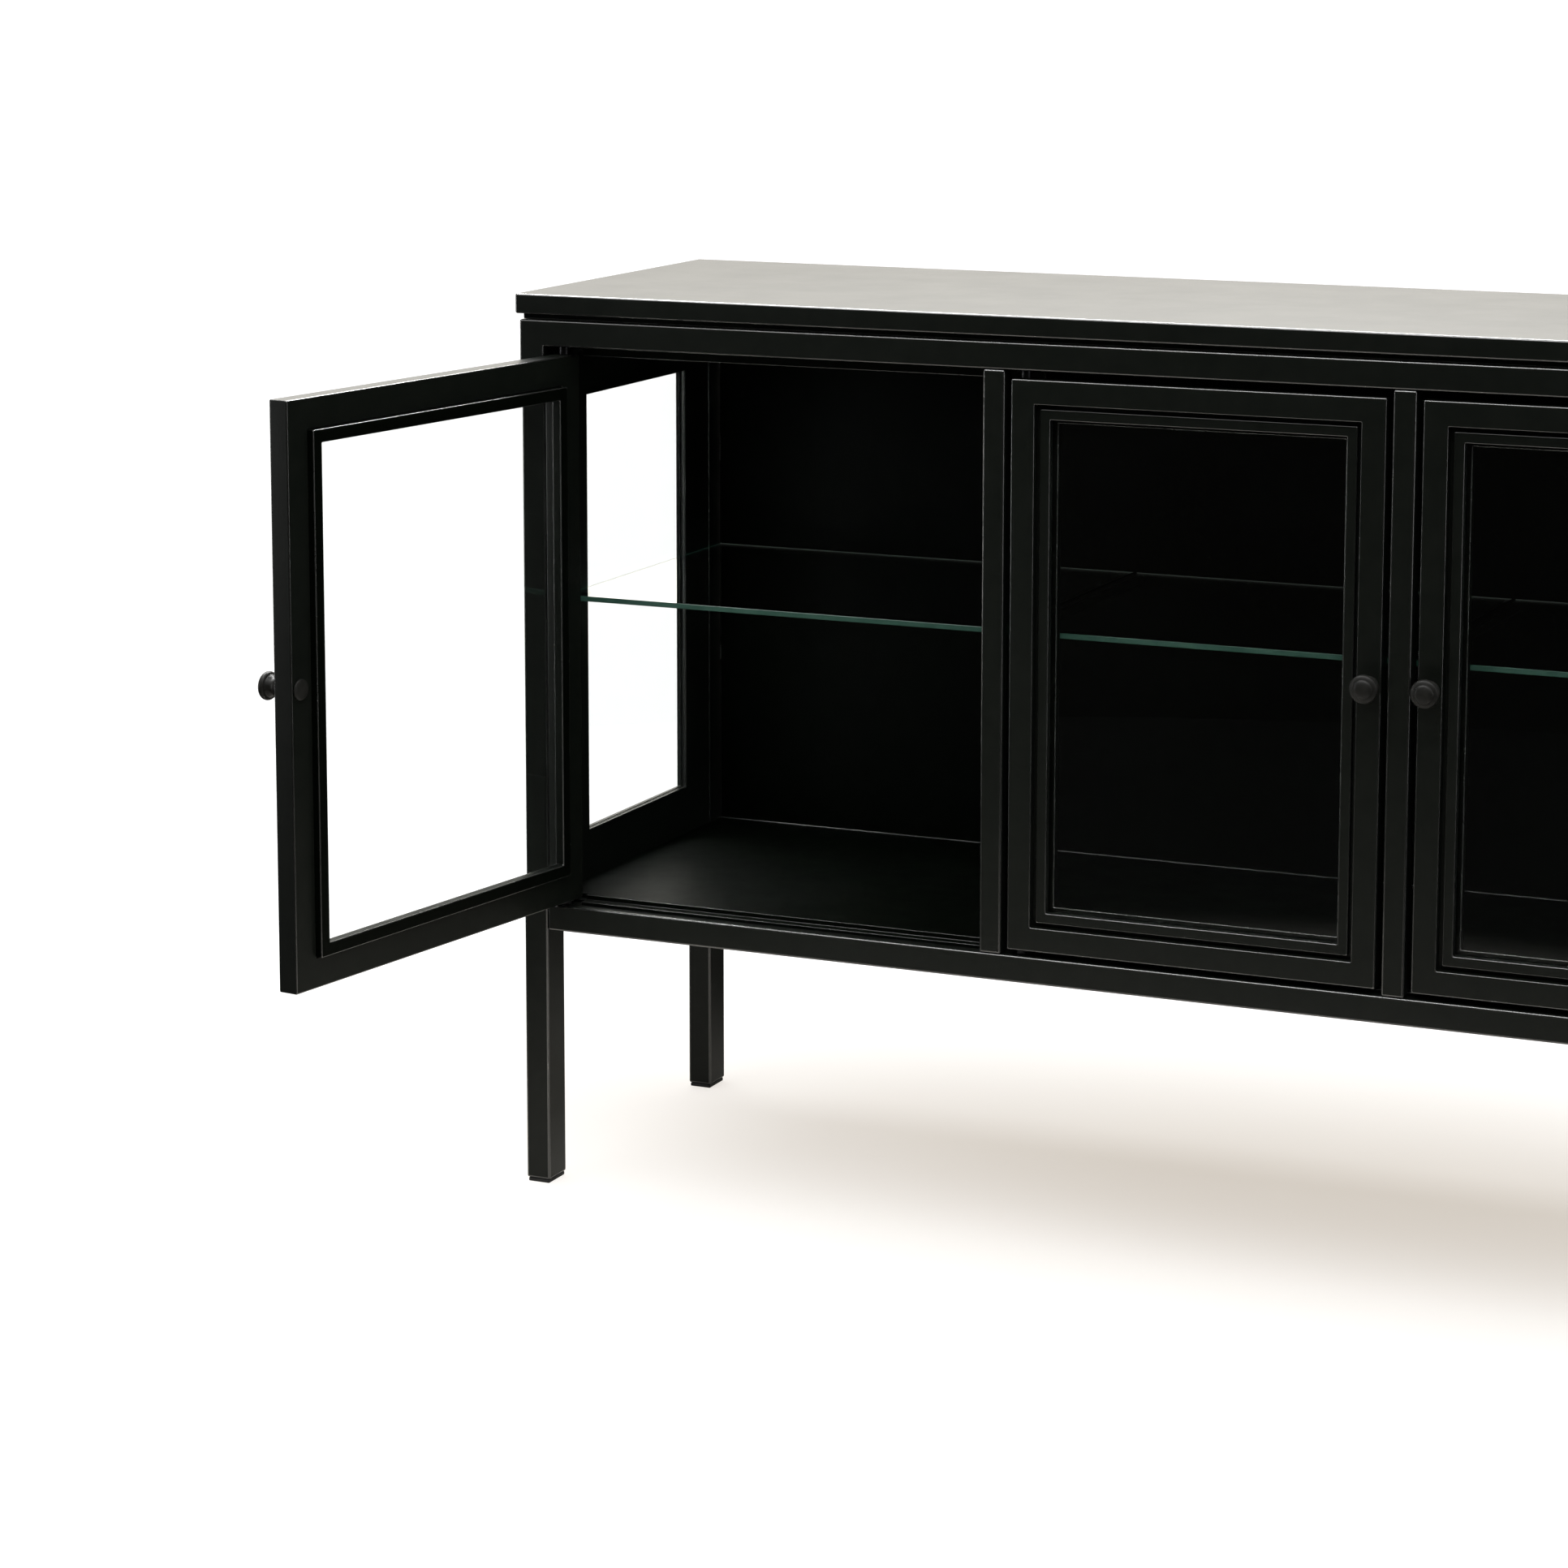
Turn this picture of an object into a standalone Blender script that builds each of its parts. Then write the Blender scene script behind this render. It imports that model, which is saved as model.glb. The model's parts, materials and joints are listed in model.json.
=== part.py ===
"""Glass-door display cabinet: welded steel tube frame, three pivoted glazed doors, glazed sides, glass shelves.

Metres, +Z up, front towards -Y. The cabinet is laid out from its front left corner on the floor, then moved as a
whole so that the world's origin is the centre of the front left foot's underside.
"""

import math

import bmesh
import bpy
from mathutils import Matrix, Vector

# Overall sizes
FRAME_WIDTH = 1.350
FRAME_DEPTH = 0.400
HEIGHT = 0.870
GAP = 0.0003

# Tubes
POST_WIDTH = 0.025
POST_DEPTH = 0.035
RAIL_HEIGHT = 0.025
UPPER_RAIL_DEPTH = 0.020
MULLION_WIDTH = 0.021
MULLION_DEPTH = 0.020
FRAME_TOP = 0.8455
LOWER_RAIL_BOTTOM = 0.254
TUBE_RADIUS = 0.0018

# Feet
FOOT_HEIGHT = 0.004
FOOT_INSET = 0.0012
FOOT_PLUG_LENGTH = 0.020
LEG_WALL = 0.003

# Bays, from left to right
WIDE_BAY = 0.448
NARROW_BAY = 0.362

# Top
TOP_THICKNESS = 0.019
TOP_OVERHANG = 0.003
TOP_PLINTH_INSET = 0.003

# Doors
DOOR_SIDE_GAP = 0.006
DOOR_BOTTOM = 0.2845
DOOR_TOP = 0.8125
DOOR_RECESS = 0.001
DOOR_THICKNESS = 0.020
DOOR_FACE = 0.0224
DOOR_GROOVE_END = 0.0267
DOOR_GROOVE_DEPTH = 0.009
DOOR_LIP_SETBACK = 0.0039
DOOR_LIP_BACK = 0.0119
DOOR_LIP_END = 0.0363
DOOR_REBATE = 0.028
GLASS_THICKNESS = 0.004
GLASS_EDGE_PLAY = 0.0006
DOOR_BEAD_BACK = 0.026
DOOR_BEAD_END = 0.0403
OPEN_ANGLE = 98.3

# Pivot pins
PIN_FROM_EDGE = 0.011
PIN_RADIUS = 0.003
PIN_PLAY = 0.0003
PIN_COLLAR_RADIUS = 0.005
PIN_DEPTH = 0.016
PIN_SIDES = 20
RELIEF_REACH = 0.014
HINGE_SWEEP_BACK = 0.028
HINGE_SWEEP_TOP = DOOR_TOP + 0.004
HINGE_SWEEP_BOTTOM = 0.2819

# Knobs
KNOB_HEIGHT = 0.557
KNOB_FROM_EDGE = 0.011
KNOB_SIDES = 32
KNOB_STUD_RADIUS = 0.0025
KNOB_BASE_RADIUS = 0.0085
KNOB_WAIST_RADIUS = 0.0052
KNOB_WAIST_START = 0.0016
KNOB_WAIST_END = 0.0080
KNOB_RIM_MIDDLE = 0.0150
KNOB_RIM_RADIUS = 0.0095
KNOB_RIM_HALF_WIDTH = 0.0030
KNOB_RIM_REACH = 0.0035
KNOB_FACE_RADIUS = 0.0094
KNOB_FACE_START = 0.0190
KNOB_DEPTH = 0.0215
CAP_RADIUS = 0.0095
CAP_EDGE = 0.0012
CAP_HEIGHT = 0.0030

# Sheet panels
FLOOR_TOP = 0.287
FLOOR_FRONT = 0.022
SILL_TOP = 0.2825
SILL_FRONT = 0.011
CEILING_BOTTOM = 0.8415
STOP_LIP_BOTTOM = 0.8108
STOP_LIP_FRONT = 0.0215
STOP_LIP_THICKNESS = 0.003
BACK_FRONT = 0.390
BACK_THICKNESS = 0.006

# Side panels
SIDE_FACE = 0.012
SIDE_BORDER = 0.0557
SIDE_REBATE = 0.0477
SIDE_THICKNESS = 0.013
SIDE_INNER_LIP = 0.003
SIDE_GLASS_FRONT = 0.0044

# Shelves
SHELF_TOP = 0.5777
SHELF_BACK = 0.3865
SHELF_THICKNESS = 0.005
SHELF_FRONT = 0.032
SHELF_END_GAP = 0.003
SHELF_BAR_WIDTH = 0.016
SHELF_BAR_HEIGHT = 0.010
SHELF_PIN_RADIUS = 0.0035
SHELF_PIN_LENGTH = 0.010
SHELF_PIN_INSET = 0.076

# Magnetic catches, behind the upper stop lip near each door's free edge
CATCH_WIDTH = 0.024
CATCH_DEPTH = 0.012
CATCH_HEIGHT = 0.012

LEFT_MULLION = POST_WIDTH + WIDE_BAY
RIGHT_MULLION = LEFT_MULLION + MULLION_WIDTH + NARROW_BAY
POST_RIGHT = FRAME_WIDTH - POST_WIDTH
REAR_POST = FRAME_DEPTH - POST_DEPTH
LOWER_RAIL_TOP = LOWER_RAIL_BOTTOM + RAIL_HEIGHT
UPPER_RAIL_BOTTOM = FRAME_TOP - RAIL_HEIGHT
PIN_Y = DOOR_RECESS + DOOR_THICKNESS / 2
MULLIONS = ("left", LEFT_MULLION), ("right", RIGHT_MULLION)

# Each door: name, hinge edge of its opening, direction from hinge to knob, opening's width, rest angle
DOORS = (
    ("left", POST_WIDTH, 1, WIDE_BAY, -OPEN_ANGLE),
    ("centre", LEFT_MULLION + MULLION_WIDTH, 1, NARROW_BAY, 0.0),
    ("right", POST_RIGHT, -1, WIDE_BAY, 0.0),
)

FINISHES = {
    "black_powder_coat": ((0.010, 0.011, 0.010, 1.0), 0.42, 0.0),
    "black_panel_coat": ((0.008, 0.009, 0.008, 1.0), 0.50, 0.0),
    "black_knob": ((0.014, 0.014, 0.013, 1.0), 0.30, 0.0),
    "clear_glass": ((0.80, 0.90, 0.86, 1.0), 0.03, 0.0),
    "pivot_steel": ((0.35, 0.35, 0.36, 1.0), 0.30, 1.0),
    "black_gasket": ((0.012, 0.012, 0.012, 1.0), 0.65, 0.0),
    "foot_plastic": ((0.015, 0.015, 0.015, 1.0), 0.60, 0.0),
}


def clear_scene():
    for obj in list(bpy.data.objects):
        bpy.data.objects.remove(obj, do_unlink=True)


def finish(name):
    """The named finish's material, made once."""
    material = bpy.data.materials.get(name)
    if material is None:
        colour, roughness, metallic = FINISHES[name]
        material = bpy.data.materials.new(name)
        material.use_nodes = True
        shader = material.node_tree.nodes["Principled BSDF"]
        shader.inputs["Base Color"].default_value = colour
        shader.inputs["Roughness"].default_value = roughness
        shader.inputs["Metallic"].default_value = metallic
    return material


def add_empty(name, location, parent=None, turn=0.0):
    empty = bpy.data.objects.new(name, None)
    bpy.context.collection.objects.link(empty)
    empty.location = location
    empty.rotation_euler.z = turn
    empty.parent = parent
    return empty


def add_mesh(name, shape, parent, material=None, location=(0, 0, 0), turn=0.0):
    """An object made from a bmesh, with its faces turned outwards."""
    bmesh.ops.recalc_face_normals(shape, faces=shape.faces)
    mesh = bpy.data.meshes.new(name)
    shape.to_mesh(mesh)
    shape.free()
    obj = bpy.data.objects.new(name, mesh)
    bpy.context.collection.objects.link(obj)
    obj.parent = parent
    obj.location = location
    obj.rotation_euler.z = turn
    if material:
        mesh.materials.append(finish(material))
    else:
        obj.hide_render = True
        obj.display_type = "WIRE"
    return obj


def box_shape(low, high):
    shape = bmesh.new()
    low, high = Vector(low), Vector(high)
    size = Matrix.Diagonal((*(high - low), 1.0))
    bmesh.ops.create_cube(shape, size=1.0, matrix=Matrix.Translation((low + high) / 2) @ size)
    return shape


def add_box(name, low, high, parent, material=None):
    return add_mesh(name, box_shape(low, high), parent, material)


def round_edges(obj, radius=TUBE_RADIUS, segments=2):
    bevel = obj.modifiers.new("rounded_edges", "BEVEL")
    bevel.width = radius
    bevel.segments = segments
    bevel.limit_method = "ANGLE"
    bevel.angle_limit = math.radians(40)
    return obj


def combine(obj, other, operation="DIFFERENCE"):
    boolean = obj.modifiers.new(operation.lower(), "BOOLEAN")
    boolean.operation = operation
    boolean.object = other
    return obj


def turned_shape(profile, sides, axis="Z"):
    """A turned solid from (distance along the axis, radius) points, both ends on the axis."""
    shape = bmesh.new()
    rings = []
    for along, radius in profile:
        if radius == 0:
            rings.append([shape.verts.new((0, 0, along))])
            continue
        angles = (2 * math.pi * step / sides for step in range(sides))
        rings.append([shape.verts.new((radius * math.cos(a), radius * math.sin(a), along)) for a in angles])
    for near, far in zip(rings, rings[1:]):
        for step in range(sides):
            following = (step + 1) % sides
            corners = [near[step % len(near)], near[following % len(near)]]
            corners += [far[following % len(far)], far[step % len(far)]]
            shape.faces.new(list(dict.fromkeys(corners)))
    if axis == "Y":
        bmesh.ops.rotate(shape, verts=shape.verts, matrix=Matrix.Rotation(math.pi / 2, 3, "X"))
    if axis == "X":
        bmesh.ops.rotate(shape, verts=shape.verts, matrix=Matrix.Rotation(math.pi / 2, 3, "Y"))
    return shape


def extruded_shape(outline):
    """A bar between the side panels' planes, from its (Y, Z) outline."""
    shape = bmesh.new()
    low, high = POST_WIDTH + GAP, POST_RIGHT - GAP
    near, far = ([shape.verts.new((x, y, z)) for y, z in outline] for x in (low, high))
    shape.faces.new(near)
    shape.faces.new(far)
    for index in range(len(outline)):
        following = (index + 1) % len(outline)
        shape.faces.new((near[index], near[following], far[following], far[index]))
    return shape


def add_turned(name, profile, sides, parent, material=None, location=(0, 0, 0), axis="Z"):
    obj = add_mesh(name, turned_shape(profile, sides, axis), parent, material, location)
    obj.data.shade_smooth()
    obj.data.set_sharp_from_angle(angle=math.radians(35))
    return obj


def rod_profile(start, end, radius):
    return (start, 0), (start, radius), (end, radius), (end, 0)


def frame_shape(width, height, section):
    """A mitred rectangular frame: section holds (inset from the outer edge, depth) points."""
    shape = bmesh.new()
    corners = [
        [
            shape.verts.new((inset, depth, inset)),
            shape.verts.new((width - inset, depth, inset)),
            shape.verts.new((width - inset, depth, height - inset)),
            shape.verts.new((inset, depth, height - inset)),
        ]
        for inset, depth in section
    ]
    for index, here in enumerate(corners):
        there = corners[(index + 1) % len(corners)]
        for side in range(4):
            following = (side + 1) % 4
            shape.faces.new((here[side], here[following], there[following], there[side]))
    return shape


def rectangle_section(inset, reach, front, back):
    return (inset, front), (reach, front), (reach, back), (inset, back)


def pin_x(hinge_edge, direction):
    return hinge_edge + direction * (DOOR_SIDE_GAP + PIN_FROM_EDGE)


def drill_pins(obj, parent, level):
    """A blind hole in a rail for each door's pivot pin, on the rail's face at this level."""
    for name, hinge_edge, direction, _, _ in DOORS:
        hole = add_turned(
            f"{obj.name}_hole_{name}",
            rod_profile(level - PIN_DEPTH, level + PIN_DEPTH, PIN_RADIUS + PIN_PLAY),
            PIN_SIDES,
            parent,
            location=(pin_x(hinge_edge, direction), PIN_Y, 0),
        )
        combine(obj, hole)


def add_posts_frame(name, root, post_y, rail_y):
    """Two posts and the upper rail between them, welded into one inverted U, with a pocket in each leg's end."""
    frame = add_box(
        name,
        (0, rail_y, UPPER_RAIL_BOTTOM),
        (FRAME_WIDTH, rail_y + UPPER_RAIL_DEPTH, FRAME_TOP),
        root,
        "black_powder_coat",
    )
    for side, post_x in ("left", 0), ("right", POST_RIGHT):
        post = add_box(
            f"{name}_post_{side}",
            (post_x, post_y, FOOT_HEIGHT),
            (post_x + POST_WIDTH, post_y + POST_DEPTH, FRAME_TOP),
            root,
        )
        combine(frame, post, "UNION")
        pocket = add_box(
            f"{name}_pocket_{side}",
            (post_x + LEG_WALL, post_y + LEG_WALL, 0),
            (post_x + POST_WIDTH - LEG_WALL, post_y + POST_DEPTH - LEG_WALL, FOOT_HEIGHT + FOOT_PLUG_LENGTH),
            root,
        )
        combine(frame, pocket)
    return frame


def add_foot(name, root, post_x, post_y):
    """A glide under the leg with a plug in the leg's pocket."""
    foot = add_box(
        name,
        (post_x + FOOT_INSET, post_y + FOOT_INSET, 0),
        (post_x + POST_WIDTH - FOOT_INSET, post_y + POST_DEPTH - FOOT_INSET, FOOT_HEIGHT - GAP),
        root,
        "foot_plastic",
    )
    wall = LEG_WALL + GAP
    plug = add_box(
        f"{name}_plug",
        (post_x + wall, post_y + wall, FOOT_HEIGHT / 2),
        (post_x + POST_WIDTH - wall, post_y + POST_DEPTH - wall, FOOT_HEIGHT + FOOT_PLUG_LENGTH - GAP),
        root,
    )
    combine(foot, plug, "UNION")


def add_frames(root):
    front = add_posts_frame("front_frame", root, 0, 0)
    drill_pins(front, root, UPPER_RAIL_BOTTOM)
    add_posts_frame("rear_frame", root, REAR_POST, FRAME_DEPTH - UPPER_RAIL_DEPTH)
    for end, post_y in ("front", 0), ("rear", REAR_POST):
        rail = add_box(
            f"lower_{end}_rail",
            (POST_WIDTH + GAP, post_y, LOWER_RAIL_BOTTOM),
            (POST_RIGHT - GAP, post_y + POST_DEPTH, LOWER_RAIL_TOP),
            root,
            "black_powder_coat",
        )
        round_edges(rail)
        if end == "front":
            drill_pins(rail, root, LOWER_RAIL_TOP)
        for side, post_x in ("left", 0), ("right", POST_RIGHT):
            add_foot(f"foot_{end}_{side}", root, post_x, post_y)
    for level, bottom in ("upper", UPPER_RAIL_BOTTOM), ("lower", LOWER_RAIL_BOTTOM):
        for side, post_x in ("left", 0), ("right", POST_RIGHT):
            rail = add_box(
                f"{level}_side_rail_{side}",
                (post_x, POST_DEPTH + GAP, bottom),
                (post_x + POST_WIDTH, REAR_POST - GAP, bottom + RAIL_HEIGHT),
                root,
                "black_powder_coat",
            )
            round_edges(rail)
    for side, left in MULLIONS:
        mullion = add_box(
            f"mullion_{side}",
            (left, 0, LOWER_RAIL_TOP + GAP),
            (left + MULLION_WIDTH, MULLION_DEPTH, UPPER_RAIL_BOTTOM - GAP),
            root,
            "black_powder_coat",
        )
        round_edges(mullion)


def hinge_zone(hinge_edge, direction):
    """The stretch of X that the door's corner sweeps, lowest first, from inside the post or mullion."""
    near = hinge_edge - direction * MULLION_WIDTH / 2
    far = pin_x(hinge_edge, direction) + direction * RELIEF_REACH
    return min(near, far), max(near, far)


def add_top_panel(root):
    top = add_box(
        "top_panel",
        (-TOP_OVERHANG, -TOP_OVERHANG, HEIGHT - TOP_THICKNESS),
        (FRAME_WIDTH + TOP_OVERHANG, FRAME_DEPTH, HEIGHT),
        root,
        "black_powder_coat",
    )
    round_edges(top)
    plinth = add_box(
        "top_plinth",
        (TOP_PLINTH_INSET, TOP_PLINTH_INSET, FRAME_TOP + GAP),
        (FRAME_WIDTH - TOP_PLINTH_INSET, FRAME_DEPTH - TOP_PLINTH_INSET, HEIGHT - TOP_THICKNESS / 2),
        root,
    )
    combine(top, plinth, "UNION")


def add_ceiling_panel(root):
    """The sheet over the compartment, folded down behind the doors' top edges as their stop."""
    front = UPPER_RAIL_DEPTH + GAP
    back = FRAME_DEPTH - UPPER_RAIL_DEPTH - GAP
    top = FRAME_TOP - GAP
    lip_back = STOP_LIP_FRONT + STOP_LIP_THICKNESS
    outline = (
        (front, top),
        (front, CEILING_BOTTOM),
        (STOP_LIP_FRONT, CEILING_BOTTOM),
        (STOP_LIP_FRONT, STOP_LIP_BOTTOM),
        (lip_back, STOP_LIP_BOTTOM),
        (lip_back, CEILING_BOTTOM),
        (back, CEILING_BOTTOM),
        (back, top),
    )
    ceiling = add_mesh("ceiling_panel", extruded_shape(outline), root, "black_panel_coat")
    for name, hinge_edge, direction, _, _ in DOORS:
        low, high = hinge_zone(hinge_edge, direction)
        relief = add_box(
            f"ceiling_relief_{name}",
            (low, 0, STOP_LIP_BOTTOM - RELIEF_REACH),
            (high, HINGE_SWEEP_BACK, HINGE_SWEEP_TOP),
            root,
        )
        combine(ceiling, relief)


def add_floor_panel(root):
    """The compartment's floor, its front edge the doors' stop, with a lower sill flange in each bay."""
    bottom = LOWER_RAIL_TOP + GAP
    back = BACK_FRONT - GAP
    outline = (
        (SILL_FRONT, bottom),
        (back, bottom),
        (back, FLOOR_TOP),
        (FLOOR_FRONT, FLOOR_TOP),
        (FLOOR_FRONT, SILL_TOP),
        (SILL_FRONT, SILL_TOP),
    )
    floor = add_mesh("floor_panel", extruded_shape(outline), root, "black_panel_coat")
    for name, left in MULLIONS:
        notch = add_box(
            f"floor_notch_{name}",
            (left - GAP, 0, LOWER_RAIL_BOTTOM),
            (left + MULLION_WIDTH + GAP, FLOOR_FRONT - 2 * GAP, FLOOR_TOP),
            root,
        )
        combine(floor, notch)
    for name, hinge_edge, direction, _, _ in DOORS:
        low, high = hinge_zone(hinge_edge, direction)
        sweep = add_box(
            f"floor_sweep_{name}",
            (low, 0, HINGE_SWEEP_BOTTOM),
            (high, HINGE_SWEEP_BACK, FLOOR_TOP + RELIEF_REACH),
            root,
        )
        combine(floor, sweep)
        around_pin = add_box(
            f"floor_pin_notch_{name}",
            (low, 0, LOWER_RAIL_BOTTOM),
            (high, FLOOR_FRONT - 2 * GAP, FLOOR_TOP),
            root,
        )
        combine(floor, around_pin)


def add_back_panel(root):
    add_box(
        "back_panel",
        (POST_WIDTH + GAP, BACK_FRONT, LOWER_RAIL_TOP + GAP),
        (POST_RIGHT - GAP, BACK_FRONT + BACK_THICKNESS, UPPER_RAIL_BOTTOM - GAP),
        root,
        "black_panel_coat",
    )


def add_side_panel(side, root):
    """A window frame between the posts, its glass clamped between an inner gasket and an outer bead."""
    width = REAR_POST - POST_DEPTH - 2 * GAP
    height = UPPER_RAIL_BOTTOM - LOWER_RAIL_TOP - 2 * GAP
    inner_lip = SIDE_THICKNESS - SIDE_INNER_LIP
    glass_back = SIDE_GLASS_FRONT + GLASS_THICKNESS
    left = side == "left"
    place = add_empty(
        f"side_{side}_place",
        (
            SIDE_FACE if left else FRAME_WIDTH - SIDE_FACE,
            REAR_POST - GAP if left else POST_DEPTH + GAP,
            LOWER_RAIL_TOP + GAP,
        ),
        root,
        math.radians(-90 if left else 90),
    )
    panel_section = (
        (0, 0),
        (SIDE_REBATE, 0),
        (SIDE_REBATE, inner_lip),
        (SIDE_BORDER, inner_lip),
        (SIDE_BORDER, SIDE_THICKNESS),
        (0, SIDE_THICKNESS),
    )
    bead_inset = SIDE_REBATE + GAP
    add_mesh(f"side_panel_{side}", frame_shape(width, height, panel_section), place, "black_powder_coat")
    bead = rectangle_section(bead_inset, SIDE_BORDER, 0, SIDE_GLASS_FRONT - GAP)
    add_mesh(f"side_bead_{side}", frame_shape(width, height, bead), place, "black_powder_coat")
    gasket = rectangle_section(bead_inset, SIDE_BORDER, glass_back + GAP, inner_lip - GAP)
    add_mesh(f"side_gasket_{side}", frame_shape(width, height, gasket), place, "black_gasket")
    glass_inset = SIDE_REBATE + GLASS_EDGE_PLAY
    add_box(
        f"side_glass_{side}",
        (glass_inset, SIDE_GLASS_FRONT, glass_inset),
        (width - glass_inset, glass_back, height - glass_inset),
        place,
        "clear_glass",
    )


def knob_profile():
    """From the door's face outwards: stud, flared base, waist, rounded rim and shallow domed face."""
    flare = KNOB_BASE_RADIUS - KNOB_WAIST_RADIUS
    waist_length = KNOB_WAIST_END - KNOB_WAIST_START
    waist = [
        (KNOB_WAIST_START + waist_length * t, KNOB_WAIST_RADIUS + flare * (1 - math.sin(math.pi / 2 * t)))
        for t in (0, 0.33, 0.66, 1)
    ]
    rim = [
        (KNOB_RIM_MIDDLE + KNOB_RIM_HALF_WIDTH * math.sin(a), KNOB_RIM_RADIUS + KNOB_RIM_REACH * math.cos(a))
        for a in (math.radians(angle) for angle in (-70, -35, 0, 35, 70))
    ]
    face = [
        (KNOB_FACE_START + (KNOB_DEPTH - KNOB_FACE_START) * t, KNOB_FACE_RADIUS * math.sqrt(1 - t * t))
        for t in (0.35, 0.7, 0.9)
    ]
    stud = [(-DOOR_THICKNESS, 0), (-DOOR_THICKNESS, KNOB_STUD_RADIUS), (GAP, KNOB_STUD_RADIUS)]
    return stud + [(GAP, KNOB_BASE_RADIUS)] + waist + rim + face + [(KNOB_DEPTH, 0)]


def screw_profile():
    """A low domed cap on the door's inner face."""
    rise = CAP_HEIGHT - CAP_EDGE
    dome = [(CAP_EDGE + rise * math.sin(a), CAP_RADIUS * math.cos(a)) for a in (0.5, 1.0)]
    return [(0, 0), (0, CAP_RADIUS), (CAP_EDGE, CAP_RADIUS)] + dome + [(CAP_HEIGHT, 0)]


def pin_profile(collar_height):
    """A plain pin with a round collar at mid length."""
    half = collar_height / 2 - GAP
    reach = half + PIN_DEPTH - 3 * GAP
    return (
        (-reach, 0),
        (-reach, PIN_RADIUS),
        (-half, PIN_RADIUS),
        (-half, PIN_COLLAR_RADIUS),
        (half, PIN_COLLAR_RADIUS),
        (half, PIN_RADIUS),
        (reach, PIN_RADIUS),
        (reach, 0),
    )


def add_door(root, name, hinge_edge, direction, bay_width, rest_angle):
    """One door, its origin on the pivot axis at the door's bottom edge, and its fixed pivot pins."""
    width = bay_width - 2 * DOOR_SIDE_GAP
    height = DOOR_TOP - DOOR_BOTTOM
    pivot = add_empty(
        f"door_{name}_pivot",
        (pin_x(hinge_edge, direction), PIN_Y, DOOR_BOTTOM),
        root,
        math.radians(rest_angle),
    )
    place = add_empty(
        f"door_{name}_corner",
        (-PIN_FROM_EDGE if direction > 0 else PIN_FROM_EDGE - width, -DOOR_THICKNESS / 2, 0),
        pivot,
    )
    section = (
        (0, 0),
        (DOOR_FACE, 0),
        (DOOR_FACE, DOOR_GROOVE_DEPTH),
        (DOOR_GROOVE_END, DOOR_GROOVE_DEPTH),
        (DOOR_GROOVE_END, DOOR_LIP_SETBACK),
        (DOOR_LIP_END, DOOR_LIP_SETBACK),
        (DOOR_LIP_END, DOOR_LIP_BACK),
        (DOOR_REBATE, DOOR_LIP_BACK),
        (DOOR_REBATE, DOOR_THICKNESS),
        (0, DOOR_THICKNESS),
    )
    frame = add_mesh(f"door_frame_{name}", frame_shape(width, height, section), place, "black_powder_coat")
    for end, level in ("bottom", 0), ("top", height):
        hole = add_turned(
            f"door_{name}_hole_{end}",
            rod_profile(level - PIN_DEPTH, level + PIN_DEPTH, PIN_RADIUS + PIN_PLAY),
            PIN_SIDES,
            pivot,
        )
        combine(frame, hole)
    knob_x = direction * (width - PIN_FROM_EDGE - KNOB_FROM_EDGE)
    knob_z = KNOB_HEIGHT - DOOR_BOTTOM
    stud_hole = add_turned(
        f"door_{name}_stud_hole",
        rod_profile(-DOOR_THICKNESS, DOOR_THICKNESS, KNOB_STUD_RADIUS + GAP),
        PIN_SIDES,
        pivot,
        location=(knob_x, 0, knob_z),
        axis="Y",
    )
    combine(frame, stud_hole)
    glass_front = DOOR_LIP_BACK + GAP
    glass_back = glass_front + GLASS_THICKNESS
    inset = DOOR_REBATE + GLASS_EDGE_PLAY
    add_box(
        f"door_glass_{name}",
        (inset, glass_front, inset),
        (width - inset, glass_back, height - inset),
        place,
        "clear_glass",
    )
    bead = rectangle_section(DOOR_REBATE + GAP, DOOR_BEAD_END, glass_back + GAP, DOOR_BEAD_BACK)
    add_mesh(f"door_bead_{name}", frame_shape(width, height, bead), place, "black_powder_coat")
    add_turned(
        f"knob_{name}",
        knob_profile(),
        KNOB_SIDES,
        pivot,
        "black_knob",
        (knob_x, -DOOR_THICKNESS / 2, knob_z),
        "Y",
    )
    cap = add_turned(
        f"knob_screw_{name}",
        screw_profile(),
        KNOB_SIDES,
        pivot,
        "black_knob",
        (knob_x, DOOR_THICKNESS / 2 + 2 * GAP, knob_z),
        "Y",
    )
    cap.rotation_euler.z = math.pi
    for end, low, high in (
        ("bottom", LOWER_RAIL_TOP, DOOR_BOTTOM),
        ("top", DOOR_TOP, UPPER_RAIL_BOTTOM),
    ):
        add_turned(
            f"pivot_pin_{name}_{end}",
            pin_profile(high - low),
            PIN_SIDES,
            root,
            "pivot_steel",
            (pivot.location.x, PIN_Y, (low + high) / 2),
        )
    free_edge = hinge_edge + direction * (bay_width - DOOR_SIDE_GAP)
    catch_x = free_edge - direction * (CATCH_WIDTH / 2 + DOOR_FACE)
    catch_y = STOP_LIP_FRONT + STOP_LIP_THICKNESS + GAP
    add_box(
        f"magnet_catch_{name}",
        (catch_x - CATCH_WIDTH / 2, catch_y, STOP_LIP_BOTTOM + GAP),
        (catch_x + CATCH_WIDTH / 2, catch_y + CATCH_DEPTH, STOP_LIP_BOTTOM + CATCH_HEIGHT),
        root,
        "foot_plastic",
    )


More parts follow.
